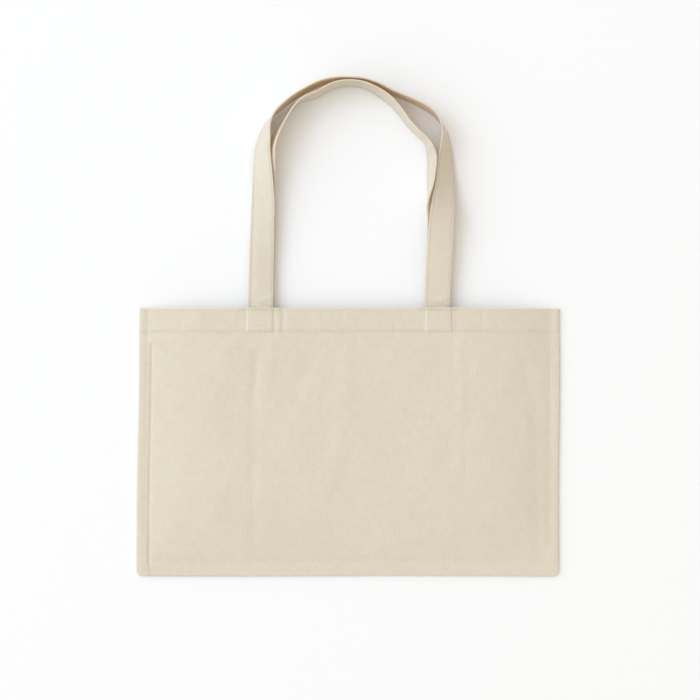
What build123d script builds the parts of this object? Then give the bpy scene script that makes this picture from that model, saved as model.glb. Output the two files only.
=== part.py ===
from build123d import *
import math
import os

# Canvas tote bag lying flat on its back panel, handles stretched out beyond the mouth.
# Millimetres. X runs across the bag, Y from the bottom seam towards the handles, Z up.
# The origin is the middle of the back panel's outer face, on the surface the bag lies on.

# Bag body
bag_width = 420.0
bag_height = 268.0
cloth = 0.7
pocket_depth = 9.0
hem_height = 24.0
side_allowance = 9.5
bottom_allowance = 13.5
slope_width = 60.0
corner_radius = 5.5

# Handles
strap_width = 25.4
strap_thickness = 1.6
handle_spacing = 177.4
handle_reach = 227.5
steps_per_span = 4

# Thread
thread_width = 0.6
thread_height = 0.25
seam_thread_height = 0.5
seam_inset = 1.0
hem_stitch_inset = 1.6
mouth_stitch_inset = 2.6
tack_rise = 0.9
tack_length = 43.0
strap_stitch_inset = 2.0
overlock_width = 1.0

# Clearances
hinge_gap = 0.4
thread_fit = 0.02
strap_thread_gap = 0.05
corner_gap = 2.5
past = 1.0

# Levels and edges that follow from the sizes above
half_width = bag_width / 2
half_height = bag_height / 2
seam_level = 2 * cloth
flange_top = 4 * cloth
front_face = 2 * cloth + pocket_depth
hem_bottom = half_height - hem_height
pocket_half_width = half_width - side_allowance
pocket_bottom = bottom_allowance - half_height
front_strap_level = front_face - seam_level - strap_thickness
back_strap_level = seam_level
thread_margin = corner_radius + corner_gap

# Routes of the two handles, from the left end over the top to the right end. Each point is
# across the bag, beyond the mouth, the roll of the strap in degrees (0 lies flat, 90 stands on
# its outer edge, more leans outwards), and the height of its lower edge. They are laid out for
# the reach, the spacing and the strap named here, and follow handle_reach, handle_spacing and
# strap_width: the back handle nests inside the front one, further in where the strap is wider.
route_reach = 227.5
route_half_spacing = 88.7
route_strap_width = 25.4
FRONT_ROUTE = [
    (-88.7, 0.0, 0, 7.4), (-87.8, 38, 0, 6.6), (-86.6, 80, 12, 4.6), (-85.7, 107, 20, 3.6),
    (-86.0, 128, 32, 3.2), (-86.2, 155, 48, 2.2), (-84.2, 170, 58, 0.9), (-81.4, 182, 71, 0.3),
    (-75.3, 192, 84, 0.3), (-66.4, 200.6, 90, 0.3), (-54.2, 210.4, 90, 0.3),
    (-40.6, 218.6, 90, 0.3), (-28.0, 224.4, 90, 0.3), (-12, 227.4, 90, 0.3), (3, 227.5, 90, 0.3),
    (16, 226.4, 90, 0.3), (31.4, 221.3, 90, 0.3), (42, 215.6, 90, 0.3), (57, 209.5, 90, 0.3),
    (70.9, 203.1, 90, 0.3), (80.8, 197.3, 90, 0.3), (88.5, 190.1, 88, 0.3),
    (93.0, 182.8, 82, 0.3), (96.2, 174.5, 74, 0.3), (97.2, 164, 64, 0.3), (97.2, 153, 52, 0.6),
    (96.9, 140, 44, 2.0), (96.2, 123, 36, 6.0), (94.2, 107, 23, 11.5), (92.8, 92, 10, 16.0),
    (91.6, 72, 3, 14.0), (90.3, 38, 0, 10.5), (88.7, 0.0, 0, 7.4),
]
BACK_ROUTE = [
    (-88.7, 0.0, 0, 1.4), (-87.6, 38, 0, 0.3), (-86.4, 80, 6, 0.3), (-85.6, 107, 14, 0.3),
    (-84.0, 128, 29, 0.3), (-79.2, 155, 60, 0.3), (-74.0, 169, 71, 0.3), (-66.1, 184, 77, 0.3),
    (-55.5, 200, 81, 0.3), (-45.5, 208, 87, 0.3), (-32.0, 213, 93, 0.3), (-14.5, 221.9, 92, 0.3),
    (1.3, 223.9, 92, 0.3), (17, 221.7, 92, 0.3), (34.5, 212, 97, 0.3), (47.5, 200.5, 96, 0.3),
    (60.5, 183.5, 94, 0.3), (71.5, 172, 93, 0.3), (77.6, 166.4, 94, 0.3), (81.1, 158.5, 100, 0.3),
    (83.3, 149, 106, 0.3), (82.8, 136, 104, 0.3), (81.8, 123, 99, 0.3), (80.3, 109, 86, 0.3),
    (82.4, 100, 64, 0.3), (87.4, 91, 40, 0.3), (90.3, 81, 21, 0.3), (91.0, 68, 9, 0.3),
    (90.4, 52, 3, 0.3), (89.6, 31, 0, 0.5), (88.7, 0.0, 0, 1.4),
]


def block(x_range, y_range, z_range):
    """Box between two values on each axis."""
    size = [high - low for low, high in (x_range, y_range, z_range)]
    middle = [(high + low) / 2 for low, high in (x_range, y_range, z_range)]
    return Pos(*middle) * Box(*size)


def save(shape, name):
    shape.label = name
    export_step(shape, os.path.join("parts", name + ".step"))


def round_bottom_corners(slab):
    upright = slab.edges().filter_by(Axis.Z).sort_by(Axis.Y)
    return fillet(upright[:2], corner_radius)


def slab_outline(z_range):
    """Full outline of the bag body with its two rounded bottom corners."""
    full = block((-half_width, half_width), (-half_height, half_height), z_range)
    return round_bottom_corners(full)


def swell(base, top, y_end):
    """Raised middle of the front panel: slopes up from the seams, stays open at the mouth."""
    inner_half = pocket_half_width - slope_width
    inner_bottom = pocket_bottom + slope_width
    low = Plane.XY.offset(base) * Pos(0, (pocket_bottom + y_end) / 2)
    high = Plane.XY.offset(top) * Pos(0, (inner_bottom + y_end) / 2)
    sections = [
        low * Rectangle(2 * pocket_half_width, y_end - pocket_bottom),
        high * Rectangle(2 * inner_half, y_end - inner_bottom),
    ]
    return loft(sections, ruled=True)


def front_outer():
    """Outer form of the front panel, filled in, from the seam level up."""
    return slab_outline((seam_level, flange_top)) + swell(flange_top, front_face, half_height)


def pocket_void(layers, y_range):
    """Space under the front panel where it is the given number of cloth layers thick."""
    sink = layers * cloth
    length = block((-half_width, half_width), y_range, (-past, front_face))
    void = swell(flange_top - sink, front_face - sink, half_height + past)
    if flange_top - sink > seam_level:
        sides = (-pocket_half_width, pocket_half_width)
        void += block(sides, (pocket_bottom, half_height + past), (seam_level, flange_top - sink))
    return void & length


def seam_lines():
    """Left, right and bottom seam lines as name, x range and y range of their thread."""
    side = half_width - seam_inset
    upright = (thread_margin - half_height, half_height)
    across = (thread_margin - half_width, half_width - thread_margin)
    low = seam_inset - half_height
    half = thread_width / 2
    return [
        ("left_seam_thread", (-side - half, -side + half), upright),
        ("right_seam_thread", (side - half, side + half), upright),
        ("bottom_seam_thread", across, (low - half, low + half)),
    ]


def widen(limits, amount):
    return (limits[0] - amount, limits[1] + amount)


def front_panel():
    panel = front_outer()
    panel -= pocket_void(1, (pocket_bottom - past, hem_bottom))
    panel -= pocket_void(2, (hem_bottom, half_height + past))
    groove_top = seam_level + seam_thread_height + thread_fit
    for _, x_range, y_range in seam_lines():
        groove = (seam_level - past, groove_top)
        panel -= block(widen(x_range, thread_fit), widen(y_range, thread_fit), groove)
    return panel


def stitch_rows():
    """Rows of stitching along the mouth as name, x range and y of their middle."""
    across = (-half_width + seam_inset, half_width - seam_inset)
    mouth_row = half_height - mouth_stitch_inset
    rows = [
        ("hem_thread", across, hem_bottom + hem_stitch_inset),
        ("mouth_thread", across, mouth_row),
    ]
    for side, x in (("left", -handle_spacing / 2), ("right", handle_spacing / 2)):
        reach = (x - tack_length / 2, x + tack_length / 2)
        rows.append((side + "_handle_tack", reach, mouth_row + tack_rise))
    return rows


def front_stitching(x_range, y):
    """A row of thread lying on the front panel's outer face."""
    y_range = (y - thread_width / 2, y + thread_width / 2)
    band = block(x_range, y_range, (seam_level, front_face + past))
    outer = front_outer()
    return (Pos(0, 0, thread_height) * outer & band) - outer


def back_row(x_range, y, fit):
    """A row of thread sunk flush into the back panel's outer face, or its groove."""
    y_range = (y - thread_width / 2, y + thread_width / 2)
    return block(widen(x_range, fit), widen(y_range, fit), (0, thread_height + fit))


def back_panel():
    panel = slab_outline((0, seam_level))
    inside = (-pocket_half_width, pocket_half_width)
    panel -= block(inside, (pocket_bottom, hem_bottom), (cloth, front_face))
    for _, x_range, y in stitch_rows():
        panel -= back_row(x_range, y, thread_fit)
    return panel


def overlock(side):
    """Overcast edge of a side seam allowance, inside the bag."""
    x_range = sorted((side * pocket_half_width, side * (pocket_half_width - overlock_width)))
    y_range = (pocket_bottom + overlock_width, hem_bottom)
    return block(x_range, y_range, (cloth, flange_top - cloth))


def bottom_overlock():
    x_range = (-pocket_half_width, pocket_half_width)
    y_range = (pocket_bottom, pocket_bottom + overlock_width)
    return block(x_range, y_range, (cloth, flange_top - cloth))


def handle_end(x, level):
    """End of a strap, sewn flat to the inside of the hem."""
    x_range = (x - strap_width / 2, x + strap_width / 2)
    return block(x_range, (hem_bottom, half_height), (level, level + strap_thickness))


def blend_values(before, start, end, after, share):
    """Smooth curve from start to end that heads for the points before and after them."""
    square = share * share
    cube = square * share
    first = -before + 3 * start - 3 * end + after
    second = 2 * before - 5 * start + 4 * end - after
    return 0.5 * (2 * start + (end - before) * share + second * square + first * cube)


def smooth_route(route):
    """The route's points with more between them, on a smooth curve through all of them."""
    ends = [route[0], *route, route[-1]]
    points = []
    for before, start, end, after in zip(ends, ends[1:], ends[2:], ends[3:]):
        for step in range(steps_per_span):
            share = step / steps_per_span
            points.append([blend_values(*four, share) for four in zip(before, start, end, after)])
    points.append(list(route[-1]))
    return points


def strap_frames(route):
    """Middle, width direction and face direction of the strap at each point of its route."""
    inset = strap_width - route_strap_width if route is BACK_ROUTE else 0
    points = smooth_route(route)
    across = handle_spacing / (2 * route_half_spacing)
    beyond = (handle_reach - hinge_gap) / route_reach
    spots = [Vector(x * across, half_height + hinge_gap + y * beyond) for x, y, _, _ in points]
    frames = []
    for number, (_, _, roll, lift) in enumerate(points):
        if number in (0, len(points) - 1):
            along = Vector(0, 1, 0) if number == 0 else Vector(0, -1, 0)
        else:
            along = (spots[number + 1] - spots[number - 1]).normalized()
        angle = math.radians(roll)
        inward = Vector(along.Y, -along.X, 0)
        wide = inward * math.cos(angle) + Vector(0, 0, math.sin(angle))
        face = wide.cross(along)
        rise = math.sin(angle) * strap_width / 2 + abs(math.cos(angle)) * strap_thickness / 2
        nested = inward * (inset * math.sin(angle))
        frames.append((spots[number] + nested + Vector(0, 0, lift + rise), wide, face))
    return frames


def skin(sections, other_diagonal=False):
    """Closed solid over a row of matching sections, with flat triangles between them."""
    faces = [Face(Wire.make_polygon(sections[0])), Face(Wire.make_polygon(sections[-1]))]
    count = len(sections[0])
    for near, far in zip(sections, sections[1:]):
        for i in range(count):
            j = (i + 1) % count
            corners = [near[i], near[j], far[j], far[i]]
            if other_diagonal:
                corners = corners[1:] + corners[:1]
            a, b, c, d = corners
            faces.append(Face(Wire.make_polygon([a, b, c])))
            faces.append(Face(Wire.make_polygon([a, c, d])))
    return Solid(Shell(faces))


def strap_stitch_lines():
    """Where each row of edge stitching runs across the strap, from its middle."""
    middle = strap_width / 2 - strap_stitch_inset
    half = thread_width / 2
    return {"outer": (-middle - half, -middle + half), "inner": (middle - half, middle + half)}


def handle(route):
    """Free length of a strap. Its face is divided where the stitching lies on it."""
    half = strap_width / 2
    lines = strap_stitch_lines()
    top = [-half, *lines["outer"], *lines["inner"], half]
    sections = []
    for middle, wide, face in strap_frames(route):
        up = face * (strap_thickness / 2)
        upper = [middle + wide * u + up for u in top]
        lower = [middle + wide * u - up for u in (half, -half)]
        sections.append(upper + lower)
    return skin(sections)


def handle_thread(route, line):
    """A row of edge stitching, lying on the strap's face."""
    low = strap_thickness / 2 + strap_thread_gap
    high = low + thread_height
    near, far = line
    corners = [(far, low), (near, low), (near, high), (far, high)]
    sections = []
    for middle, wide, face in strap_frames(route):
        sections.append([middle + wide * u + face * v for u, v in corners])
    return skin(sections, other_diagonal=True)


os.makedirs("parts", exist_ok=True)
save(front_panel(), "front_panel")
save(back_panel(), "back_panel")
for row, x_range, y in stitch_rows():
    save(front_stitching(x_range, y), "front_" + row)
    save(back_row(x_range, y, 0), "back_" + row)
for seam, x_range, y_range in seam_lines():
    save(block(x_range, y_range, (seam_level, seam_level + seam_thread_height)), seam)
save(overlock(-1), "left_overlock")
save(overlock(1), "right_overlock")
save(bottom_overlock(), "bottom_overlock")
for name, route, level in (
    ("front", FRONT_ROUTE, front_strap_level),
    ("back", BACK_ROUTE, back_strap_level),
):
    save(handle(route), name + "_handle")
    for edge, line in strap_stitch_lines().items():
        save(handle_thread(route, line), name + "_handle_" + edge + "_thread")
    save(handle_end(-handle_spacing / 2, level), name + "_handle_left_end")
    save(handle_end(handle_spacing / 2, level), name + "_handle_right_end")
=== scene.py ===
import math

import bpy
import numpy as np
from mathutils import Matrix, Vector


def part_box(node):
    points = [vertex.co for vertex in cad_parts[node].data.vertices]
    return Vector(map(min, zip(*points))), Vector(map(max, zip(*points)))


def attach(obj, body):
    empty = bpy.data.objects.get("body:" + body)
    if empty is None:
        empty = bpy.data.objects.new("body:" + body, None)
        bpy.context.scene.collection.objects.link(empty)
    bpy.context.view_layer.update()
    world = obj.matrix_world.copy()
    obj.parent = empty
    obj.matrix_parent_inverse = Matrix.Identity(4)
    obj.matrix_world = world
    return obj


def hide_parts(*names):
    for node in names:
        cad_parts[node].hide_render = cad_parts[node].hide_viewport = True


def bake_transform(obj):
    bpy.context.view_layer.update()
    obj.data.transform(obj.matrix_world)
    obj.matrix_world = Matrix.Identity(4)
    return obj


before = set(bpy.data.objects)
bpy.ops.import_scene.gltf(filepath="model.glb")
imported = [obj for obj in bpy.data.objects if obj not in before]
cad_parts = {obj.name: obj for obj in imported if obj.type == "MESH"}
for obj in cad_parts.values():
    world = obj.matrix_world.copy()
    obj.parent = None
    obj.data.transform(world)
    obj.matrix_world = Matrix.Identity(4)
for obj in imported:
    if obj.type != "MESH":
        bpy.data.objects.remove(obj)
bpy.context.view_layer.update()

# The canvas tote bag in metres: X across the bag, Y from the bottom seam to the handles, Z up.
MM = 0.001
CLOTH_MAP = "cloth"

back_low, back_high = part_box("back_panel")
front_low, front_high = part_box("front_panel")
end_low, end_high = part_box("front_handle_right_end")
back_end_low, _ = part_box("back_handle_right_end")

HALF_WIDTH = back_high.x
MOUTH = back_high.y
BOTTOM = back_low.y
SEAM_LEVEL = back_high.z
FRONT_FACE = front_high.z
HEM_BOTTOM = end_low.y
STRAP_WIDTH = end_high.x - end_low.x
STRAP_THICKNESS = end_high.z - end_low.z
HANDLE_X = (end_high.x + end_low.x) / 2
FRONT_END_LEVEL = end_low.z
BACK_END_LEVEL = back_end_low.z

# The cloth as cut, and the bands at the sides and the bottom that the seam allowances fill.
CLOTH = 0.7 * MM
SIDE_BAND = 9.5 * MM
BOTTOM_BAND = 13.5 * MM

# Roundings of the outline and of the edges, and how far in the pocket still rises.
CORNER_RADIUS = 5.5 * MM
EDGE_RADIUS = 1.4 * MM
RIM_RADIUS = 0.7 * MM
PILLOW = 78 * MM
FACE_GAP = 0.01 * MM

# The hem, the straps' sewn ends that show through it, and the rows of stitches.
HEM_RISE = 0.30 * MM
PATCH_RISE = 0.75 * MM
HEM_STITCH = HEM_BOTTOM + 1.6 * MM
MOUTH_STITCH = MOUTH - 2.6 * MM
TACK_RISE = 0.9 * MM
TACK_LENGTH = 43 * MM
STRAP_STITCH = STRAP_WIDTH / 2 - 2 * MM
STITCH_GROOVE = 0.35 * MM
FRONT_STITCH_SINK = 0.16 * MM
BACK_STITCH_SINK = 0.12 * MM
PUCKER_LENGTH = 3.5 * MM

# From one stitch to the next, and the thickness of the thread.
BAG_PITCH = 3.1 * MM
TACK_PITCH = 4.6 * MM
STRAP_PITCH = 2.8 * MM
SEAM_PITCH = 3 * MM
OVERLOCK_PITCH = 2.2 * MM
THREAD_WIDTH = 0.62 * MM
STRAP_THREAD_WIDTH = 0.55 * MM
OVERLOCK_THREAD_WIDTH = 0.45 * MM
THREAD_LIFT = 0.24 * MM
SEAM_INSET = 1.0 * MM

# The handles: the points of the sewn ends below the mouth, in millimetres, and the clearance at the
# hinge.
HEM_PART = (23.4, 12.0)
HINGE_GAP = 0.4 * MM
ROUTE_STEP = 1.25 * MM
# Painted shade on the inner face of the front strap's arch.
ARCH_PAINTED_SHADE = -0.12

# Lines pressed into the cloth, in millimetres: distance from the edge, half width, height.
SIDE_ALLOWANCE = (5.2, 2.6, 0.20)
BOTTOM_ALLOWANCE = (8.0, 3.6, 0.15)
LEFT_VALLEY = (12.6, 1.4, -0.85)
RIGHT_VALLEY = (6.6, 1.3, -0.14)
BOTTOM_VALLEY = (15.2, 2.2, -0.16)
BACK_VALLEY = (11.3, 1.4, 0.25)

# Unevenness of the cloth, in millimetres: length of the wave across and along, height, start.
RIPPLES = [
    (61, 83, 0.10, 1.3), (-47, 120, 0.08, 0.4), (31, -57, 0.05, 2.0),
    (19, 23, 0.022, 0.7), (-13, 29, 0.018, 2.6), (7.3, 200, 0.010, 0.2),
]

# Soft folds of the front panel: points in millimetres, half width, and height (less than 0 sinks).
FOLDS = [
    ([(-92, 87), (-94, 40), (-93, -40), (-91, -118)], 6.0, -0.35),
    ([(-92, 87), (-94, 42)], 4.0, -0.45),
    ([(-108.7, 105), (-128.7, 82)], 5.0, 0.45),
    ([(-76.7, 97), (-78.7, 59)], 5.0, 0.35),
    ([(-38.7, 79), (-51.7, 49)], 7.0, -0.35),
    ([(-1.7, 89), (-5.7, 25), (-18.7, -45)], 9.0, 0.45),
    ([(111, 102), (112, 40), (110, -28)], 5.0, 0.30),
    ([(172, 82), (185, 42), (188, -58), (190, -110)], 7.0, -0.45),
    ([(-199, 103), (-186, 92)], 4.0, 0.40),
    ([(-65.7, 134), (-65.7, 110)], 2.2, -0.42),
    ([(-70.6, 134), (-70.0, 106)], 2.2, 0.42),
    ([(-8, 132), (-5, 108)], 4.0, -0.24),
    ([(-30, 124), (-26, 104)], 5.0, 0.20),
    ([(48, 130), (52, 106)], 4.5, 0.26),
    ([(-150, 131), (-146, 106)], 5.0, 0.28),
    ([(-112, 130), (-118, 112)], 3.0, 0.16),
    ([(132, 134), (132.6, 108)], 1.8, -0.22),
    ([(107, 128), (106, 112)], 1.8, -0.28),
    ([(-202.5, 131), (-202, 111)], 1.9, -0.38),
    ([(204, 132), (204, 111)], 1.9, -0.36),
]

# Routes of the two handles, the same as in the CAD: across the bag, beyond the mouth, roll of the
# strap in degrees and height of its lower edge, in millimetres.
FRONT_ROUTE = [
    (-88.7, 0.0, 0, 7.4), (-87.8, 38, 0, 6.6), (-86.6, 80, 12, 4.6), (-85.7, 107, 20, 3.6),
    (-86.0, 128, 32, 3.2), (-86.2, 155, 48, 2.2), (-84.2, 170, 58, 0.9), (-81.4, 182, 71, 0.3),
    (-75.3, 192, 84, 0.3), (-66.4, 200.6, 90, 0.3), (-54.2, 210.4, 90, 0.3),
    (-40.6, 218.6, 90, 0.3), (-28.0, 224.4, 90, 0.3), (-12, 227.4, 90, 0.3), (3, 227.5, 90, 0.3),
    (16, 226.4, 90, 0.3), (31.4, 221.3, 90, 0.3), (42, 215.6, 90, 0.3), (57, 209.5, 90, 0.3),
    (70.9, 203.1, 90, 0.3), (80.8, 197.3, 90, 0.3), (88.5, 190.1, 88, 0.3),
    (93.0, 182.8, 82, 0.3), (96.2, 174.5, 74, 0.3), (97.2, 164, 64, 0.3), (97.2, 153, 52, 0.6),
    (96.9, 140, 44, 2.0), (96.2, 123, 36, 6.0), (94.2, 107, 23, 11.5), (92.8, 92, 10, 16.0),
    (91.6, 72, 3, 14.0), (90.3, 38, 0, 10.5), (88.7, 0.0, 0, 7.4),
]
BACK_ROUTE = [
    (-88.7, 0.0, 0, 1.4), (-87.6, 38, 0, 0.3), (-86.4, 80, 6, 0.3), (-85.6, 107, 14, 0.3),
    (-84.0, 128, 29, 0.3), (-79.2, 155, 60, 0.3), (-74.0, 169, 71, 0.3), (-66.1, 184, 77, 0.3),
    (-55.5, 200, 81, 0.3), (-45.5, 208, 87, 0.3), (-32.0, 213, 93, 0.3), (-14.5, 221.9, 92, 0.3),
    (1.3, 223.9, 92, 0.3), (17, 221.7, 92, 0.3), (34.5, 212, 97, 0.3), (47.5, 200.5, 96, 0.3),
    (60.5, 183.5, 94, 0.3), (71.5, 172, 93, 0.3), (77.6, 166.4, 94, 0.3), (81.1, 158.5, 100, 0.3),
    (83.3, 149, 106, 0.3), (82.8, 136, 104, 0.3), (81.8, 123, 99, 0.3), (80.3, 109, 86, 0.3),
    (82.4, 100, 64, 0.3), (87.4, 91, 40, 0.3), (90.3, 81, 21, 0.3), (91.0, 68, 9, 0.3),
    (90.4, 52, 3, 0.3), (89.6, 31, 0, 0.5), (88.7, 0.0, 0, 1.4),
]

# Colours of the cloth, of light that has passed through it, of the thread and of the floor.
BODY_COLOUR = (0.720, 0.655, 0.533)
STRAP_COLOUR = (0.840, 0.810, 0.700)
THROUGH_COLOUR = (1.0, 0.70, 0.36)
THREAD_COLOUR = (0.82, 0.77, 0.66)
FLOOR_COLOUR = (0.90, 0.90, 0.90)
COOL_TINT = (0.992, 1.004, 0.998)
WARM_TINT = (1.008, 0.994, 0.992)

# Grain of the cloth's yarns and marks: size across and along the cloth, in metres.
GRAINS = {
    "warp": (0.0007, 0.045), "weft": (0.045, 0.0007), "fuzz": (0.0005, 0.0005),
    "cloud": (0.045, 0.06), "blotch": (0.008, 0.010), "slub": (0.0016, 0.009),
    "cross_slub": (0.009, 0.0016),
}

# The sky's brighter side, its colours on the dim and the bright side, and the key light.
LIGHT_SIDE = (-0.98, 0.2, 0)
SKY_DIM = (0.466, 0.345, 0.248)
SKY_BRIGHT = (1.492, 1.583, 1.560)
KEY_PLACE = (-3.2, 1.6, 3.0)
KEY_AIM = (0, 0.09, 0)
KEY_SIZE = 2.6
KEY_POWER = 65.6
KEY_COLOUR = (0.58, 0.68, 1.0)

# The floor: half its length, points along a side, and where and how steeply it curves up.
FLOOR_HALF = 4.0
FLOOR_POINTS = 40
FLOOR_LEVEL = -0.4 * MM
FLAT_RADIUS = 2.2
FLOOR_CURVE = 0.12

# The camera, straight above the bag.
CAMERA_PLACE = (1.3 * MM, 92 * MM, FRONT_FACE + 1.2)
LENS = 61.7
SENSOR = 36


# Meshes

def smooth(t):
    """Rises from 0 to 1 while t does, with a soft start and end."""
    t = np.clip(t, 0, 1)
    return t * t * (3 - 2 * t)


def make_object(name, points, faces, uv, material, tone=None):
    """Mesh object with smooth faces, a UV map in metres of cloth and an optional tone."""
    mesh = bpy.data.meshes.new(name)
    mesh.from_pydata(points.tolist(), [], faces)
    layer = mesh.uv_layers.new(name=CLOTH_MAP)
    corners = np.zeros(len(mesh.loops), np.int32)
    mesh.loops.foreach_get("vertex_index", corners)
    layer.uv.foreach_set("vector", uv[corners].astype(np.float32).ravel())
    mesh.polygons.foreach_set("use_smooth", np.ones(len(mesh.polygons), bool))
    # The tone attribute carries painted shade and painted highlights where given.
    values = np.zeros(len(points)) if tone is None else tone
    attribute = mesh.attributes.new("tone", "FLOAT", "POINT")
    attribute.data.foreach_set("value", values.astype(np.float32))
    mesh.validate()
    made = bpy.data.objects.new(name, mesh)
    bpy.context.scene.collection.objects.link(made)
    made.data.materials.append(material)
    return made


def grid_lines(low, high, fine_low, fine_high, extra, step):
    """Values from low to high, closer together at the two ends and at the extra places."""
    offsets = np.array([0, 0.06, 0.22, 0.45, 0.75, 1.1, 1.4, 2.0, 2.8, 3.8, 5.0, 5.5, 6.5, 7.8, 8.8])
    band = np.array([9.4, 9.6, 10.2, 10.8, 11.4, 12.0, 12.8, 13.4, 13.6, 14.4, 15.4, 16.4]) * MM
    lines = [np.arange(low + 18 * MM, high - (18 if fine_high else 1) * MM, step)]
    if fine_low:
        lines += [low + offsets * MM, low + band]
    if fine_high:
        lines += [high - offsets * MM, high - band]
    lines += [np.array(extra), np.array([low, high])]
    values = np.unique(np.round(np.concatenate(lines), 6))
    keep = [values[0]]
    for value in values[1:]:
        if value - keep[-1] >= 0.03 * MM:
            keep.append(value)
    keep[-1] = values[-1]
    return np.array(keep)


def panel_grid():
    """The panel's points, closer together at its edges, the hem, the stitches and the handles."""
    near = np.array([-1.5, -1.0, -0.5, 0, 0.5, 1.0, 1.5, 2.2]) * MM
    columns = []
    for side in (-1, 1):
        for edge in (-1, 1):
            columns.append(side * HANDLE_X + edge * STRAP_WIDTH / 2 + near)
    rows = np.array([0, 0.03, 0.1, 0.22, 0.4, 0.7, 1.2, 1.7, 2.1, 2.35, 2.6, 2.85, 3.1, 3.6]) * MM
    hem = HEM_BOTTOM + np.array([-2.5, -1.8, -1.2, -0.8, -0.4, -0.1, 0.1, 0.5, 0.9, 1.3]) * MM
    stitch = HEM_STITCH + np.array([-0.25, 0, 0.25, 0.6, 1.2]) * MM
    x = grid_lines(-HALF_WIDTH, HALF_WIDTH, True, True, np.concatenate(columns), 1.5 * MM)
    crossing = np.concatenate([MOUTH - rows, hem, stitch])
    y = grid_lines(BOTTOM, MOUTH, True, False, crossing, 1.5 * MM)
    return np.meshgrid(x, y, indexing="ij")


def insets(x, y):
    """Distances in from the nearer side and up from the bottom."""
    return HALF_WIDTH - np.abs(x), y - BOTTOM


def round_corners(x, y):
    """Moves the grid's points near the two bottom corners onto their arcs."""
    from_side, from_bottom = insets(x, y)
    a = np.clip(CORNER_RADIUS - from_side, 0, None)
    b = np.clip(CORNER_RADIUS - from_bottom, 0, None)
    both = (a > 0) & (b > 0)
    shrink = np.where(both, np.maximum(a, b) / np.maximum(np.hypot(a, b), 1e-9), 1)
    new_x = np.sign(x) * (HALF_WIDTH - CORNER_RADIUS + a * shrink)
    new_y = BOTTOM + CORNER_RADIUS - b * shrink
    return np.where(both, new_x, x), np.where(both, new_y, y)


def edge_distance(x, y):
    """Distance from the outline's sides and bottom, with the corners rounded."""
    from_side, from_bottom = insets(x, y)
    a = np.clip(CORNER_RADIUS - from_side, 0, None)
    b = np.clip(CORNER_RADIUS - from_bottom, 0, None)
    inside = np.minimum(from_side, from_bottom)
    return np.where((a > 0) | (b > 0), CORNER_RADIUS - np.hypot(a, b), inside).clip(0, None)


def fold_height(x, y, points, width, height):
    """A soft fold along a line of points, fading at its two ends."""
    best = np.full(x.shape, np.inf)
    for (x0, y0), (x1, y1) in zip(points, points[1:]):
        dx, dy = (x1 - x0) * MM, (y1 - y0) * MM
        along = ((x - x0 * MM) * dx + (y - y0 * MM) * dy) / (dx * dx + dy * dy)
        along = np.clip(along, 0, 1)
        best = np.minimum(best, np.hypot(x - x0 * MM - along * dx, y - y0 * MM - along * dy))
    return height * MM * np.exp(-(best / (width * MM)) ** 2)


def patch(x, y):
    """1 where a strap's sewn end lies under the hem, soft at its border."""
    uneven = 0.25 * MM * np.sin(y / (3.1 * MM) + x / (40 * MM))
    sideways = STRAP_WIDTH / 2 + 1.0 * MM + uneven - np.abs(np.abs(x) - HANDLE_X)
    upward = y - (HEM_BOTTOM - 0.9 * MM) + 0.2 * MM * np.sin(x / (3.7 * MM))
    return smooth(sideways / (2.3 * MM)) * smooth(upward / (1.7 * MM))


def hem(y):
    """1 in the hem, 0 below it."""
    return smooth((y - HEM_BOTTOM + 0.5 * MM) / (0.9 * MM))


def groove(value, middle, width):
    """1 along a line, falling softly to 0 on both sides."""
    return np.exp(-(((value - middle) / width) ** 2))


def pressed(distance, line):
    """Height of a line pressed into the cloth at the given distance from the edge."""
    middle, width, height = line
    return height * MM * groove(distance, middle * MM, width * MM)


def ripples(x, y):
    """Slight unevenness of the cloth, in metres."""
    total = 0
    for across, along, size, start in RIPPLES:
        turns = x / (across * MM) + y / (along * MM)
        total = total + size * np.sin(2 * math.pi * turns + start)
    return total * MM


def front_outer(x, y):
    """Height of the front panel's outer face, before the rounding of its mouth edge."""
    from_side, from_bottom = insets(x, y)
    distance = edge_distance(x, y)
    turn = 1 - np.clip(distance / EDGE_RADIUS, 0, 1)
    z = SEAM_LEVEL + EDGE_RADIUS * np.sqrt(np.clip(1 - turn * turn, 0, 1))
    across = np.clip((from_side - SIDE_BAND) / PILLOW, 0, 1)
    up = np.clip((from_bottom - BOTTOM_BAND) / PILLOW, 0, 1)
    rise = (1 - (1 - across) ** 2) * (1 - (1 - up) ** 2)
    z += (FRONT_FACE - SEAM_LEVEL - EDGE_RADIUS) * rise
    inner = smooth((distance - 3 * MM) / (12 * MM))
    z += ripples(x, y) * inner
    z += pressed(from_side, SIDE_ALLOWANCE) * smooth(from_bottom / (10 * MM))
    z += pressed(from_bottom, BOTTOM_ALLOWANCE) * smooth(from_side / (10 * MM))
    left = smooth((from_bottom - 8 * MM) / (6 * MM)) * (x < 0) * (1 - hem(y + 12 * MM))
    z += pressed(from_side, LEFT_VALLEY) * left
    z += pressed(from_side, RIGHT_VALLEY) * (x > 0)
    z += pressed(from_bottom, BOTTOM_VALLEY) * smooth((from_side - 8 * MM) / (6 * MM))
    for points, width, height in FOLDS:
        z += fold_height(x, y, points, width, height) * inner
    in_hem = hem(y)
    z += HEM_RISE * in_hem * smooth(from_side / (3 * MM))
    z += PATCH_RISE * patch(x, y)
    for row in (HEM_STITCH, MOUTH_STITCH):
        z -= FRONT_STITCH_SINK * groove(y, row, STITCH_GROOVE)
    pucker = np.sin(2 * math.pi * x / PUCKER_LENGTH)
    z += 0.03 * MM * pucker * groove(y, HEM_STITCH, 1.6 * MM)
    return z


def inner_layers(x, y):
    """Layers of cloth, two in the hem, and where the seam allowances fill the pocket."""
    from_side, from_bottom = insets(x, y)
    layers = 1 + smooth((y - HEM_BOTTOM) / (0.2 * MM))
    return layers, (from_side < SIDE_BAND) | (from_bottom < BOTTOM_BAND)


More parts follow.
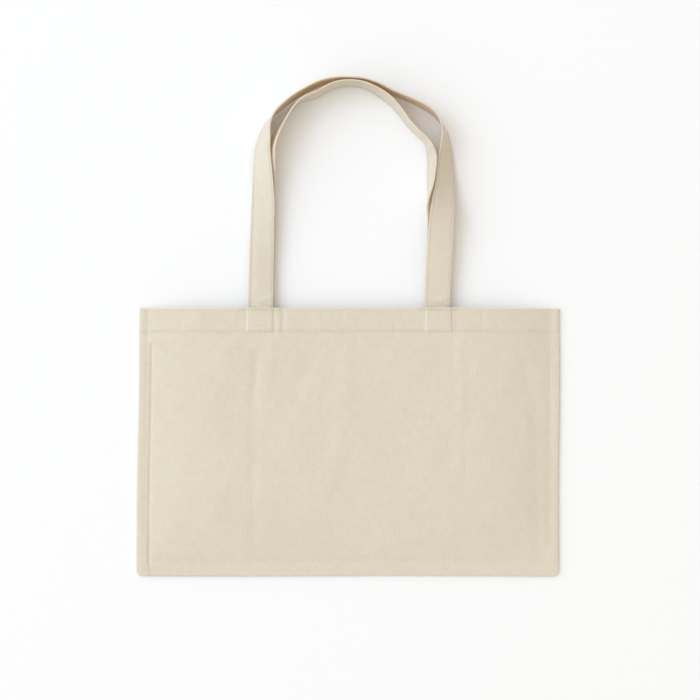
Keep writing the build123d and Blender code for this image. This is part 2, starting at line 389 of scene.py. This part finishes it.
def front_inner(x, y, outer):
    """Height of the front panel's inner face."""
    layers, band = inner_layers(x, y)
    seam = SEAM_LEVEL + FACE_GAP
    return np.where(band, seam, np.maximum(outer - CLOTH * layers, seam))


def back_outer(x, y):
    """Height of the back panel's outer face, which lies on the table and turns up at its edge."""
    turn = 1 - np.clip(edge_distance(x, y) / EDGE_RADIUS, 0, 1)
    z = SEAM_LEVEL - EDGE_RADIUS * np.sqrt(np.clip(1 - turn * turn, 0, 1))
    for row in (HEM_STITCH, MOUTH_STITCH):
        z += BACK_STITCH_SINK * groove(y, row, STITCH_GROOVE)
    z += 0.05 * MM + 0.25 * np.abs(ripples(x, y))
    from_side, from_bottom = insets(x, y)
    z += pressed(from_side, BACK_VALLEY) * smooth((from_bottom - 8 * MM) / (6 * MM))
    z += 0.18 * MM * (1 - hem(y)) * smooth((edge_distance(x, y) - 4 * MM) / (20 * MM))
    return z


def back_inner(x, y, outer):
    """Height of the back panel's inner face."""
    layers, band = inner_layers(x, y)
    seam = SEAM_LEVEL - FACE_GAP
    return np.minimum(np.where(band, seam, outer + CLOTH * layers), seam)


def lie(x, y):
    """Slight spread of the bag's outline: wider at the bottom left, lifted beside the handles."""
    down = (MOUTH - y) / (MOUTH - BOTTOM)
    share = (x + HALF_WIDTH) / (2 * HALF_WIDTH)
    left = -0.9 * MM - 3.6 * MM * down
    right = 2.4 * MM - 1.2 * MM * down
    waver = 0.35 * MM * np.sin(y / (31 * MM)) * (2 * share - 1) ** 4
    new_x = x + left + (right - left) * share + waver
    beside = np.exp(-(((np.abs(x) - HANDLE_X) / (26 * MM)) ** 2))
    new_y = y + 0.8 * MM * beside * smooth((y - HEM_BOTTOM + 30 * MM) / (50 * MM))
    new_y += 0.25 * MM * np.sin(x / (53 * MM) + 0.6) - 1.7 * MM * down**2
    return new_x, new_y


def build_panel(name, outer_of, inner_of, material, flip):
    """Closed sheet of cloth between an outer and an inner face that share their whole border."""
    x, y = round_corners(*panel_grid())
    outer = outer_of(x, y)
    inner = inner_of(x, y, outer)
    border = np.zeros(x.shape, bool)
    border[[0, -1], :] = True
    border[:, [0, -1]] = True
    side = np.zeros(x.shape, bool)
    side[[0, -1], :] = True
    side[:, 0] = True
    middle = (outer + inner) / 2
    rim = 1 - np.clip((MOUTH - y) / RIM_RADIUS, 0, 1)
    spread = np.sqrt(np.clip(1 - rim * rim, 0, 1))
    outer = np.where(side, SEAM_LEVEL, middle + (outer - middle) * spread)
    inner = np.where(side, SEAM_LEVEL, middle + (inner - middle) * spread)
    rows, columns = x.shape
    outside = np.arange(rows * columns).reshape(rows, columns)
    inside = np.where(border, outside, 0)
    inside[~border] = rows * columns + np.arange((~border).sum())
    new_x, new_y = lie(x, y)
    points = np.stack([new_x, new_y, outer], -1).reshape(-1, 3)
    within = np.stack([new_x, new_y, inner], -1)[~border]
    uv = np.stack([x, y], -1).reshape(-1, 2)
    # The front panel gets painted shade and painted highlights; the back panel gets none.
    tone = painted_shade_and_highlight_tone(x, y) if outer_of is front_outer else np.zeros(x.shape)
    faces = []
    for index, turned in ((outside, flip), (inside, not flip)):
        a, b = index[:-1, :-1], index[1:, :-1]
        c, d = index[1:, 1:], index[:-1, 1:]
        quads = np.stack([a, d, c, b] if turned else [a, b, c, d], -1).reshape(-1, 4)
        faces += quads.tolist()
    points = np.concatenate([points, within])
    uv = np.concatenate([uv, np.stack([x, y], -1)[~border] + 0.5])
    tone = np.concatenate([tone.ravel(), np.zeros((~border).sum())])
    return make_object(name, points, faces, uv, material, tone)


def painted_shade_and_highlight_tone(x, y):
    """Painted shade in the crease by the left seam, under the hem and in the stitch rows; painted
    highlight on the folded edges.
    """
    from_side, _ = insets(x, y)
    # Painted shade in the crease beside the left seam.
    tone = -0.08 * groove(from_side, 12.7 * MM, 1.2 * MM) * (x < 0) * (1 - hem(y + 10 * MM))
    # Painted shadow just below the hem's lower edge.
    tone -= 0.02 * groove(y, HEM_BOTTOM - 0.5 * MM, 0.8 * MM)
    # Painted highlight along the folded sides and the mouth edge.
    tone += 0.03 * groove(from_side, 0, 2.0 * MM)
    tone += 0.03 * groove(y, MOUTH, 1.2 * MM)
    # Painted shade in the hem's stitch groove and along the tacks across the handles.
    tone -= 0.06 * groove(y, HEM_STITCH, 0.7 * MM)
    beside = smooth((TACK_LENGTH / 2 - np.abs(np.abs(x) - HANDLE_X)) / (2 * MM))
    tone -= 0.14 * groove(y, MOUTH_STITCH + 0.5 * TACK_RISE, 1.1 * MM) * beside
    return tone


# Handles

def blend_values(before, start, end, after, share):
    """Smooth curve from start to end that heads for the points before and after them."""
    first = -before + 3 * start - 3 * end + after
    second = 2 * before - 5 * start + 4 * end - after
    return 0.5 * (2 * start + (end - before) * share + second * share**2 + first * share**3)


def dense_route(route, level):
    """The handle's route from one sewn end to the other, at small even steps, in metres."""
    left, right = route[0], route[-1]
    start = [(left[0], -past, 0, level / MM) for past in HEM_PART]
    end = [(right[0], -past, 0, level / MM) for past in reversed(HEM_PART)]
    points = np.array([*start, *route, *end], float)
    points = np.concatenate([points[:1], points, points[-1:]])
    shares = np.arange(0, 1, 1 / 24)
    spans = []
    for four in zip(points, points[1:], points[2:], points[3:]):
        spans.append(np.stack([blend_values(*four, share) for share in shares]))
    line = np.concatenate([*spans, points[-1:]])
    line[:, :2] *= MM
    line[:, 3] *= MM
    line[:, 2] = np.radians(line[:, 2])
    steps = np.hypot(np.diff(line[:, 0]), np.diff(line[:, 1]))
    along = np.concatenate([[0], np.cumsum(steps)])
    at = np.linspace(0, along[-1], int(along[-1] / ROUTE_STEP))
    line = np.stack([np.interp(at, along, line[:, k]) for k in range(4)], 1)
    for _ in range(6):
        line[1:-1] = (line[:-2] + 2 * line[1:-1] + line[2:]) / 4
    return line


def strap_frame(route, level):
    """Middle, width direction, face direction and distance along the strap at each step."""
    line = dense_route(route, level)
    y = MOUTH + line[:, 1] + np.where(line[:, 1] > 0, HINGE_GAP, 0)
    spot = np.stack([line[:, 0], y, np.zeros(len(line))], 1)
    along = np.gradient(spot, axis=0)
    along /= np.linalg.norm(along, axis=1)[:, None]
    roll, lift = line[:, 2:3], line[:, 3:4]
    inward = np.stack([along[:, 1], -along[:, 0], np.zeros(len(line))], 1)
    upward = np.array([[0.0, 0.0, 1.0]])
    wide = inward * np.cos(roll) + upward * np.sin(roll)
    face = np.cross(wide, along)
    rise = np.sin(roll) * STRAP_WIDTH / 2 + np.abs(np.cos(roll)) * STRAP_THICKNESS / 2
    middle = spot + upward * (lift + rise)
    steps = np.linalg.norm(np.diff(middle, axis=0), axis=1)
    distance = np.concatenate([[0], np.cumsum(steps)])
    return middle, wide, face, distance


def strap_section():
    """Outline of the strap across its width: position across, side (1 up, -1 down) and height."""
    half, thick = STRAP_WIDTH / 2, STRAP_THICKNESS / 2
    flat = half - thick
    groove_steps = np.array([-0.9, -0.5, -0.2, 0, 0.2, 0.5, 0.9]) * MM
    inner = np.linspace(-STRAP_STITCH + 1.6 * MM, STRAP_STITCH - 1.6 * MM, 12)
    top = np.concatenate([[-flat], -STRAP_STITCH + groove_steps, inner, STRAP_STITCH + groove_steps,
                          [flat]])
    height = np.full(len(top), thick)
    for side in (-1, 1):
        height -= 0.17 * MM * groove(top, side * STRAP_STITCH, 0.42 * MM)
    turns = np.radians([75, 55, 35, 15, 0, -15, -35, -55, -75])
    right = flat + thick * np.cos(turns)
    right_height = thick * np.sin(turns)
    across = np.concatenate([top, right, top[::-1], -right])
    up = np.concatenate([height, right_height, -height[::-1], -right_height])
    return across, up


def sway(s):
    """How far the strap wanders to the side of its route."""
    return 0.18 * MM * np.sin(s / (29 * MM) + 0.5)


def turned_margin(s, u):
    """How far the outer margin of the left leg is turned down."""
    leg = smooth((s - 30 * MM) / (16 * MM)) * smooth((150 * MM - s) / (40 * MM))
    return 0.14 * np.clip(-u - 4 * MM, 0, None) * leg


def build_strap(name, route, level, material, front):
    """A strap swept along its route, rippled along its stitches and creased beside the hem.

    Painted highlight on its edges, painted shade in its stitch grooves; the front strap adds painted
    shade inside its arch and one margin that turns down.
    """
    middle, wide, face, distance = strap_frame(route, level)
    across, up = strap_section()
    count, size = len(middle), len(across)
    s = distance[:, None]
    u = across[None, :]
    pucker = 0.035 * MM * np.sin(2 * math.pi * s / PUCKER_LENGTH)
    near_row = groove(np.abs(u), STRAP_STITCH, 1.3 * MM)
    height = up[None, :] + np.sign(up)[None, :] * pucker * near_row
    wave = 0.10 * np.sin(s / (17 * MM) + 2.0) + 0.07 * np.sin(s / (7.9 * MM) + u / (6 * MM))
    cup = 0.16 * MM * np.cos(math.pi * u / STRAP_WIDTH)
    bend = (wave * MM + cup) * smooth((s - 26 * MM) / (20 * MM))
    bend = bend * smooth((distance[-1] - s - 26 * MM) / (20 * MM))
    bend = bend + crease_near_hem(s, u) + crease_near_hem(distance[-1] - s, -u)
    if front:
        bend = bend - turned_margin(s, u)
    points = middle[:, None, :] + wide[:, None, :] * (u + sway(s))[..., None]
    points = points + face[:, None, :] * (height + bend)[..., None]
    lengths = np.hypot(np.diff(across, append=across[0]), np.diff(up, append=up[0]))
    around = np.concatenate([[0], np.cumsum(lengths)[:-1]]) - STRAP_WIDTH / 2
    uv = np.stack(np.broadcast_arrays(around[None, :], s), -1).reshape(-1, 2)
    index = np.arange(count * size).reshape(count, size)
    a, b = index[:-1], np.roll(index, -1, 1)[:-1]
    c, d = np.roll(index, -1, 1)[1:], index[1:]
    faces = np.stack([a, b, c, d], -1).reshape(-1, 4).tolist()
    faces += [index[0][::-1].tolist(), index[-1].tolist()]
    tone = np.zeros((count, size))
    # Painted highlight along the strap's edges and painted shade in its stitch grooves.
    tone += 0.02 * smooth((np.abs(u) - STRAP_WIDTH / 2 + 1.5 * MM) / (1.5 * MM))
    tone -= 0.10 * groove(np.abs(u), STRAP_STITCH, 0.8 * MM)
    # Painted shade on the inner face of the front strap's arch, darker and browner.
    if front:
        from_end = np.minimum(s, distance[-1] - s)
        arch = smooth((from_end - 165 * MM) / (30 * MM))
        tone += ARCH_PAINTED_SHADE * arch * (up[None, :] < -0.3 * STRAP_THICKNESS)
    return make_object(name, points.reshape(-1, 3), faces, uv, material, tone.ravel())


def crease_near_hem(s, u):
    """Two small slanting folds where the strap comes out of the hem."""
    start = HEM_PART[0] * MM
    first = 0.9 * groove(s - 0.30 * u, start + 7.5 * MM, 2.2 * MM)
    first = first * smooth((u + 9 * MM) / (14 * MM))
    second = -0.7 * groove(s + 0.20 * u, start + 4.2 * MM, 1.8 * MM)
    return (first + second) * MM * smooth((s - start) / (3 * MM))


# Stitches

def capsules(centre, along, face, length, width, lift):
    """Points, faces and UVs of many small stitches, each a rounded arch of thread."""
    places = np.array([-0.92, -0.6, 0.0, 0.6, 0.92])
    fat = np.array([0.55, 0.95, 1.0, 0.95, 0.55])
    sides = 6
    turn = 2 * math.pi * np.arange(sides) / sides
    across = np.cross(face, along)
    n = len(centre)
    rings = []
    for place, share in zip(places, fat):
        arch = lift * (1 - place * place)
        base = centre + along * (place * length / 2) + face * (arch - lift * 0.45)
        for angle in turn:
            offset = across * (math.cos(angle) * share) + face * (0.8 * math.sin(angle) * share)
            rings.append(base + offset * (width / 2))
    for place in (-1, 1):
        rings.append(centre + along * (place * length / 2) - face * (lift * 0.45))
    points = np.stack(rings, 1)
    per = points.shape[1]
    uv = []
    for place in places:
        for angle in turn:
            uv.append((place * length / 2, angle * width / 2))
    uv += [(-length / 2, 0), (length / 2, 0)]
    uv = np.tile(np.array(uv), (n, 1))
    uv += np.repeat(np.arange(n), per)[:, None] * 0.0037
    shape = []
    for ring in range(len(places) - 1):
        for k in range(sides):
            j = (k + 1) % sides
            low, high = ring * sides, (ring + 1) * sides
            shape.append((low + k, low + j, high + j, high + k))
    last = (len(places) - 1) * sides
    for k in range(sides):
        j = (k + 1) % sides
        shape += [(per - 2, j, k), (per - 1, last + k, last + j)]
    faces = [tuple(start + i for i in corners)
             for start in range(0, n * per, per) for corners in shape]
    return points.reshape(-1, 3), faces, uv


def build_stitches(name, centre, along, face, pitch, material, width=THREAD_WIDTH, fill=0.74):
    """One object with a stitch at each centre, that fills its share of the pitch."""
    along = along / np.linalg.norm(along, axis=1)[:, None]
    face = face - along * (face * along).sum(1)[:, None]
    face = face / np.linalg.norm(face, axis=1)[:, None]
    points, faces, uv = capsules(centre, along, face, pitch * fill, width, THREAD_LIFT)
    return make_object(name, points, faces, uv, material)


def surface_row(height, x, y, sign):
    """Places, directions and facing of points of the bag's face at x, y, as it lies."""
    step = 0.3 * MM
    z = height(x, y)
    dz = (height(x + step, y) - height(x - step, y)) / (2 * step)
    dy = (height(x, y + step) - height(x, y - step)) / (2 * step)
    new_x, new_y = lie(x, y)
    centre = np.stack([new_x, new_y, z], 1)
    along = np.stack([np.ones(len(x)), np.zeros(len(x)), dz], 1)
    normal = np.stack([-dz, -np.clip(dy, -0.3, 0.3), np.ones(len(x))], 1) * sign
    return centre, along, normal


def sew_to_bag(row, node):
    """Makes a row of stitches the finished form of a thread of the CAD, on the bag's body."""
    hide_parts(node)
    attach(row, "bag")


def bag_row(name, node, side, x_low, x_high, y, pitch, material):
    """A row of stitches along the mouth or the hem, on the front or the back panel."""
    count = int((x_high - x_low) / pitch)
    x = x_low + (np.arange(count) + 0.5) * (x_high - x_low) / count
    wobble = 0.10 * MM * np.sin(x / (11 * MM)) + 0.05 * MM * np.sin(x / (2.3 * MM))
    height = front_outer if side > 0 else back_outer
    centre, along, normal = surface_row(height, x, y + wobble, side)
    centre[:, 2] += side * 0.10 * MM + (0.12 * MM if side < 0 else 0)
    row = build_stitches(name, centre, along, normal, (x_high - x_low) / count, material)
    sew_to_bag(row, node)


def bag_stitching(material):
    """The rows along the hem and the mouth, and across the handles' ends, on both panels."""
    edge = HALF_WIDTH - 1.5 * MM
    for side, panel in ((1, "front"), (-1, "back")):
        for row, y in (("hem", HEM_STITCH), ("mouth", MOUTH_STITCH)):
            bag_row(f"{panel}_{row}_stitches", f"{panel}_{row}_thread", side, -edge, edge, y,
                    BAG_PITCH, material)
        for end, x in (("left", -HANDLE_X), ("right", HANDLE_X)):
            bag_row(f"{panel}_{end}_handle_tack_stitches", f"{panel}_{end}_handle_tack", side,
                    x - TACK_LENGTH / 2, x + TACK_LENGTH / 2, MOUTH_STITCH + TACK_RISE,
                    TACK_PITCH, material)


def seam_path(side):
    """Points along a seam line: side -1 left, 1 right, 0 bottom."""
    margin = CORNER_RADIUS + 2.5 * MM
    if side:
        y = np.arange(BOTTOM + margin, MOUTH - 1 * MM, SEAM_PITCH)
        return np.full(len(y), side * (HALF_WIDTH - SEAM_INSET)), y, (0.0, 1.0, 0.0)
    x = np.arange(-HALF_WIDTH + margin, HALF_WIDTH - margin, SEAM_PITCH)
    return x, np.full(len(x), BOTTOM + SEAM_INSET), (1.0, 0.0, 0.0)


def seam_stitching(material):
    """The seam's lockstitches between the two panels, seen in the gap at the bag's edge."""
    for name, side in (("left", -1), ("right", 1), ("bottom", 0)):
        x, y, along = seam_path(side)
        new_x, new_y = lie(x, y)
        centre = np.stack([new_x, new_y, np.full(len(x), SEAM_LEVEL)], 1)
        outward = (float(side), 0.0, 0.0) if side else (0.0, -1.0, 0.0)
        row = build_stitches(f"{name}_seam_stitches", centre, np.tile(along, (len(x), 1)),
                             np.tile(outward, (len(x), 1)), SEAM_PITCH, material)
        sew_to_bag(row, f"{name}_seam_thread")


def overlock_stitching(material):
    """Overcast thread that wraps the raw edges of the seam allowances inside the bag."""
    pitch = OVERLOCK_PITCH
    for name, side in (("left", -1), ("right", 1), ("bottom", 0)):
        if side:
            y = np.arange(BOTTOM + BOTTOM_BAND + pitch, HEM_BOTTOM - 1 * MM, pitch / 2)
            x = np.full(len(y), side * (HALF_WIDTH - SIDE_BAND - 0.3 * MM))
            slant, outward = (0.0, 0.55, 0.0), (-float(side), 0.0, 0.0)
        else:
            end = HALF_WIDTH - SIDE_BAND - pitch
            x = np.arange(-HALF_WIDTH + SIDE_BAND + pitch, end, pitch / 2)
            y = np.full(len(x), BOTTOM + BOTTOM_BAND + 0.3 * MM)
            slant, outward = (0.55, 0.0, 0.0), (0.0, 1.0, 0.0)
        new_x, new_y = lie(x, y)
        centre = np.stack([new_x, new_y, np.full(len(x), SEAM_LEVEL)], 1)
        turn = np.where(np.arange(len(x)) % 2, 1.0, -1.0)[:, None]
        along = np.array([slant]) * turn + np.array([[0.0, 0.0, 1.0]])
        row = build_stitches(f"{name}_overlock_stitches", centre, along,
                             np.tile(outward, (len(x), 1)), 1.6 * MM, material,
                             width=OVERLOCK_THREAD_WIDTH, fill=1.0)
        sew_to_bag(row, f"{name}_overlock")


def at_distance(at, distance, values):
    """The strap's middle or one of its directions at the given distances along it."""
    return np.stack([np.interp(at, distance, values[:, k]) for k in range(3)], 1)


def strap_stitching(name, route, level, side, material):
    """One row of edge stitches, on both faces of the strap."""
    middle, wide, face, distance = strap_frame(route, level)
    count = int((distance[-1] - 4 * MM) / STRAP_PITCH)
    at = 2 * MM + (np.arange(count) + 0.5) * STRAP_PITCH
    base = at_distance(at, distance, middle)
    along = at_distance(at + 0.5 * MM, distance, middle) - base
    normal = at_distance(at, distance, face)
    across = at_distance(at, distance, wide)
    base = base + across * (side * STRAP_STITCH + sway(at))[:, None]
    out = STRAP_THICKNESS / 2 - 0.02 * MM
    centre = np.concatenate([base + normal * out, base - normal * out])
    return build_stitches(name, centre, np.concatenate([along, along]),
                          np.concatenate([normal, -normal]), STRAP_PITCH, material,
                          width=STRAP_THREAD_WIDTH)


# Materials

def new_material(name, base, roughness, sheen, sheen_roughness):
    """A material, its node tree and its shader."""
    material = bpy.data.materials.new(name)
    material.use_nodes = True
    shader = material.node_tree.nodes["Principled BSDF"]
    shader.inputs["Roughness"].default_value = roughness
    shader.inputs["Sheen Weight"].default_value = sheen
    shader.inputs["Sheen Roughness"].default_value = sheen_roughness
    shader.inputs["Specular IOR Level"].default_value = 0.12
    shader.inputs["Base Color"].default_value = (*base, 1)
    return material, material.node_tree, shader


def node(tree, kind, inputs=(), **settings):
    """A shader node with the given settings; an input is a value or another node's output."""
    made = tree.nodes.new(kind)
    for key, value in settings.items():
        setattr(made, key, value)
    for socket, value in dict(inputs).items():
        if isinstance(value, bpy.types.NodeSocket):
            tree.links.new(value, made.inputs[socket])
        else:
            made.inputs[socket].default_value = value
    return made


def calculate(tree, operation, *values):
    """Output of a maths node on the given values."""
    made = node(tree, "ShaderNodeMath", enumerate(values), operation=operation)
    return made.outputs[0]


def add_up(tree, total, parts):
    """The total with each part added, times its weight."""
    for part, weight in parts:
        total = calculate(tree, "MULTIPLY_ADD", part, weight, total)
    return total


def cloth_place(tree):
    """Position on the cloth, across and along it, in metres."""
    return node(tree, "ShaderNodeUVMap", uv_map=CLOTH_MAP).outputs[0]


def stretched_noise(tree, place, across, along, detail):
    """Noise with the given grain size across and along the cloth, in metres, from -1 to 1."""
    sized = node(tree, "ShaderNodeVectorMath", {0: place, 1: (1 / across, 1 / along, 1)},
                 operation="MULTIPLY")
    noise = node(tree, "ShaderNodeTexNoise", {0: sized.outputs[0], "Scale": 1.0, "Detail": detail},
                 noise_dimensions="3D")
    return calculate(tree, "MULTIPLY_ADD", noise.outputs[0], 2.0, -1.0)


def weave(tree, place, pitch):
    """Plain weave: which thread is on top, from -1 to 1, and the bumps the threads make."""
    bend = stretched_noise(tree, place, 0.004, 0.004, 1.0)
    parts = node(tree, "ShaderNodeSeparateXYZ", {0: place})
    waves = []
    for part in (0, 1):
        shift = calculate(tree, "MULTIPLY", bend, 0.35)
        turns = calculate(tree, "MULTIPLY", parts.outputs[part], math.pi / pitch[part])
        waves.append(calculate(tree, "SINE", calculate(tree, "ADD", turns, shift)))
    crossing = calculate(tree, "MULTIPLY", waves[0], waves[1])
    bumps = calculate(tree, "POWER", calculate(tree, "ABSOLUTE", crossing), 0.55)
    return crossing, bumps


def let_light_through(tree, shader, share):
    """Makes cloth pass on some of the light that falls on its other side, warmer than it was."""
    through = node(tree, "ShaderNodeBsdfTranslucent", {"Color": (*THROUGH_COLOUR, 1)})
    both = node(tree, "ShaderNodeMixShader", {0: share, 1: shader.outputs[0],
                                              2: through.outputs[0]})
    tree.links.new(both.outputs[0], tree.nodes["Material Output"].inputs["Surface"])


def seed_flecks(tree, place):
    """1 in the small flecks of cotton seed, 0 elsewhere."""
    spots = node(tree, "ShaderNodeTexVoronoi", {"Vector": place, "Scale": 95.0})
    near = node(tree, "ShaderNodeMapRange", {0: spots.outputs["Distance"], 1: 0.012, 2: 0.035,
                                             3: 1.0, 4: 0.0})
    chosen = node(tree, "ShaderNodeSeparateColor", {0: spots.outputs["Color"]})
    picked = calculate(tree, "GREATER_THAN", chosen.outputs[0], 0.86)
    return calculate(tree, "MULTIPLY", near.outputs[0], picked)


def natural_colour(tree, base, tone, blotch):
    """The base colour at a tone: patchy in warmth, and yellower where it is darker."""
    warmth = calculate(tree, "MULTIPLY_ADD", blotch, 0.5, 0.5)
    cool = tuple(channel * tint for channel, tint in zip(base, COOL_TINT))
    warm = tuple(channel * tint for channel, tint in zip(base, WARM_TINT))
    hue = node(tree, "ShaderNodeMix", {0: warmth, 6: (*cool, 1), 7: (*warm, 1)}, data_type="RGBA")
    less_green = calculate(tree, "POWER", tone, 1.35)
    less_blue = calculate(tree, "POWER", tone, 1.9)
    shade = node(tree, "ShaderNodeCombineXYZ", {0: tone, 1: less_green, 2: less_blue})
    return node(tree, "ShaderNodeVectorMath", {0: hue.outputs[2], 1: shade.outputs[0]},
                operation="MULTIPLY").outputs[0]


def canvas(name, base, pitch, bump, mottle, streak, seed, through=0.0):
    """Natural cotton canvas: plain weave, uneven yarns, faint mottling, seed flecks and fuzz, with
    painted shade between the yarns and the mesh's painted shade and highlights.
    """
    material, tree, shader = new_material(name, base, 0.92, 0.22, 0.45)
    place = node(tree, "ShaderNodeVectorMath", {0: cloth_place(tree), 1: (seed, seed * 1.7, seed)},
                 operation="ADD").outputs[0]
    crossing, bumps = weave(tree, place, pitch)
    grain = {kind: stretched_noise(tree, place, *size, 2.0) for kind, size in GRAINS.items()}
    # Painted shade between the yarns, where the weave's relief is low.
    gap = calculate(tree, "SUBTRACT", bumps, 0.62)
    # The mesh's tone attribute: painted shade and painted highlights.
    painted_light = node(tree, "ShaderNodeAttribute", attribute_name="tone").outputs["Fac"]
    tone = add_up(tree, 1.0, (
        (grain["warp"], streak), (grain["weft"], streak * 0.8), (grain["fuzz"], 0.06),
        (grain["cloud"], mottle), (grain["blotch"], mottle * 0.7), (grain["slub"], 0.045),
        (grain["cross_slub"], 0.035), (crossing, 0.03), (gap, 0.10),
    ))
    tone = calculate(tree, "ADD", painted_light, tone)
    tone = add_up(tree, tone, ((seed_flecks(tree, place), -0.10),))
    tree.links.new(natural_colour(tree, base, tone, grain["blotch"]), shader.inputs["Base Color"])
    rough = calculate(tree, "MULTIPLY_ADD", grain["fuzz"], 0.04, 0.92)
    tree.links.new(rough, shader.inputs["Roughness"])
    relief = add_up(tree, bumps, (
        (grain["warp"], 0.25), (grain["weft"], 0.25), (grain["fuzz"], 0.20),
    ))
    height = node(tree, "ShaderNodeBump", {"Strength": 1.0, "Distance": bump, "Height": relief})
    tree.links.new(height.outputs[0], shader.inputs["Normal"])
    if through:
        let_light_through(tree, shader, through)
    return material


def thread_material():
    """Cotton sewing thread: plies twisted round each other."""
    material, tree, shader = new_material("sewing_thread", THREAD_COLOUR, 0.8, 0.2, 0.4)
    place = cloth_place(tree)
    along, around, _ = node(tree, "ShaderNodeSeparateXYZ", {0: place}).outputs
    turns = calculate(tree, "MULTIPLY", along, 2 * math.pi / (0.9 * MM))
    lean = calculate(tree, "MULTIPLY_ADD", around, 2 * math.pi / THREAD_WIDTH, turns)
    ply = calculate(tree, "SINE", lean)
    fuzz = stretched_noise(tree, place, 0.0004, 0.0002, 2.0)
    # Painted shade in the grooves between the plies and painted highlight on their crests.
    tone = add_up(tree, 1.0, ((ply, 0.05), (fuzz, 0.05)))
    shade = node(tree, "ShaderNodeVectorMath", {0: THREAD_COLOUR, "Scale": tone},
                 operation="SCALE")
    tree.links.new(shade.outputs[0], shader.inputs["Base Color"])
    relief = calculate(tree, "MULTIPLY_ADD", fuzz, 0.4, ply)
    height = node(tree, "ShaderNodeBump", {"Strength": 0.6, "Distance": 0.06 * MM,
                                           "Height": relief})
    tree.links.new(height.outputs[0], shader.inputs["Normal"])
    return material


# The bag

def build_panels(material):
    back = build_panel("back_panel_cloth", back_outer, back_inner, material, True)
    front = build_panel("front_panel_cloth", front_outer, front_inner, material, False)
    for panel, cad_node in ((back, "back_panel"), (front, "front_panel")):
        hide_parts(cad_node)
        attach(panel, "bag")


def build_handle(name, route, level, material, thread):
    """A strap and its two rows of stitches."""
    strap = build_strap(f"{name}_strap", route, level, material, name == "front")
    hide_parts(f"{name}_handle", f"{name}_handle_left_end", f"{name}_handle_right_end")
    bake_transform(strap)
    length = strap_frame(route, level)[3][-1]
    for row, side in (("outer", -1), ("inner", 1)):
        stitches = strap_stitching(f"{name}_strap_{row}_stitches", route, level, side, thread)
        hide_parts(f"{name}_handle_{row}_thread")
        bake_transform(stitches)


def build_bag():
    body_canvas = canvas("natural_canvas", BODY_COLOUR, pitch=(0.62 * MM, 0.58 * MM),
                         bump=0.10 * MM, mottle=0.020, streak=0.022, seed=3.1)
    strap_canvas = canvas("strap_canvas", STRAP_COLOUR, pitch=(0.60 * MM, 0.60 * MM),
                          bump=0.09 * MM, mottle=0.012, streak=0.020, seed=7.7, through=0.25)
    thread = thread_material()
    build_panels(body_canvas)
    bag_stitching(thread)
    seam_stitching(thread)
    overlock_stitching(thread)
    build_handle("front", FRONT_ROUTE, FRONT_END_LEVEL, strap_canvas, thread)
    build_handle("back", BACK_ROUTE, BACK_END_LEVEL, strap_canvas, thread)


# The setting

def build_floor():
    """A pale floor that curves up far from the bag."""
    lines = np.linspace(-FLOOR_HALF, FLOOR_HALF, FLOOR_POINTS)
    x, y = np.meshgrid(lines, lines, indexing="ij")
    far = np.clip(np.hypot(x, y) - FLAT_RADIUS, 0, None)
    points = np.stack([x, y, FLOOR_LEVEL + FLOOR_CURVE * far**2], -1).reshape(-1, 3)
    index = np.arange(FLOOR_POINTS**2).reshape(FLOOR_POINTS, FLOOR_POINTS)
    faces = np.stack([index[:-1, :-1], index[1:, :-1], index[1:, 1:], index[:-1, 1:]], -1)
    material, _, _ = new_material("pale_floor", FLOOR_COLOUR, 0.85, 0.0, 0.5)
    faces = faces.reshape(-1, 4).tolist()
    make_object("floor", points, faces, points[:, :2], material)


def build_sky():
    """Soft light from all round, bright from the left and dim and warm from the right."""
    world = bpy.data.worlds.new("studio")
    world.use_nodes = True
    tree = world.node_tree
    place = node(tree, "ShaderNodeTexCoord")
    across = node(tree, "ShaderNodeVectorMath", {0: place.outputs["Generated"], 1: LIGHT_SIDE},
                  operation="DOT_PRODUCT")
    share = calculate(tree, "MULTIPLY_ADD", across.outputs["Value"], 0.5, 0.5)
    colour = node(tree, "ShaderNodeMix", {0: share, 6: (*SKY_DIM, 1), 7: (*SKY_BRIGHT, 1)},
                  data_type="RGBA", clamp_result=False)
    tree.links.new(colour.outputs[2], tree.nodes["Background"].inputs["Color"])
    bpy.context.scene.world = world


def build_light():
    """One large soft light, high on the left."""
    key = bpy.data.lights.new("key", "AREA")
    key.shape = "SQUARE"
    key.size = KEY_SIZE
    key.energy = KEY_POWER
    key.color = KEY_COLOUR
    lamp = bpy.data.objects.new("key", key)
    bpy.context.scene.collection.objects.link(lamp)
    lamp.location = KEY_PLACE
    aim = Vector(KEY_AIM) - lamp.location
    lamp.rotation_euler = aim.to_track_quat("-Z", "Y").to_euler()


def build_camera():
    """Looks straight down on the bag."""
    camera = bpy.data.cameras.new("camera")
    camera.sensor_width = SENSOR
    camera.lens = LENS
    view = bpy.data.objects.new("camera", camera)
    bpy.context.scene.collection.objects.link(view)
    view.location = CAMERA_PLACE
    view.rotation_euler = (0, 0, 0)
    camera.clip_start = 0.05
    camera.clip_end = 20
    bpy.context.scene.camera = view
    bpy.context.scene.view_settings.view_transform = "Standard"


build_bag()
build_floor()
build_sky()
build_light()
build_camera()
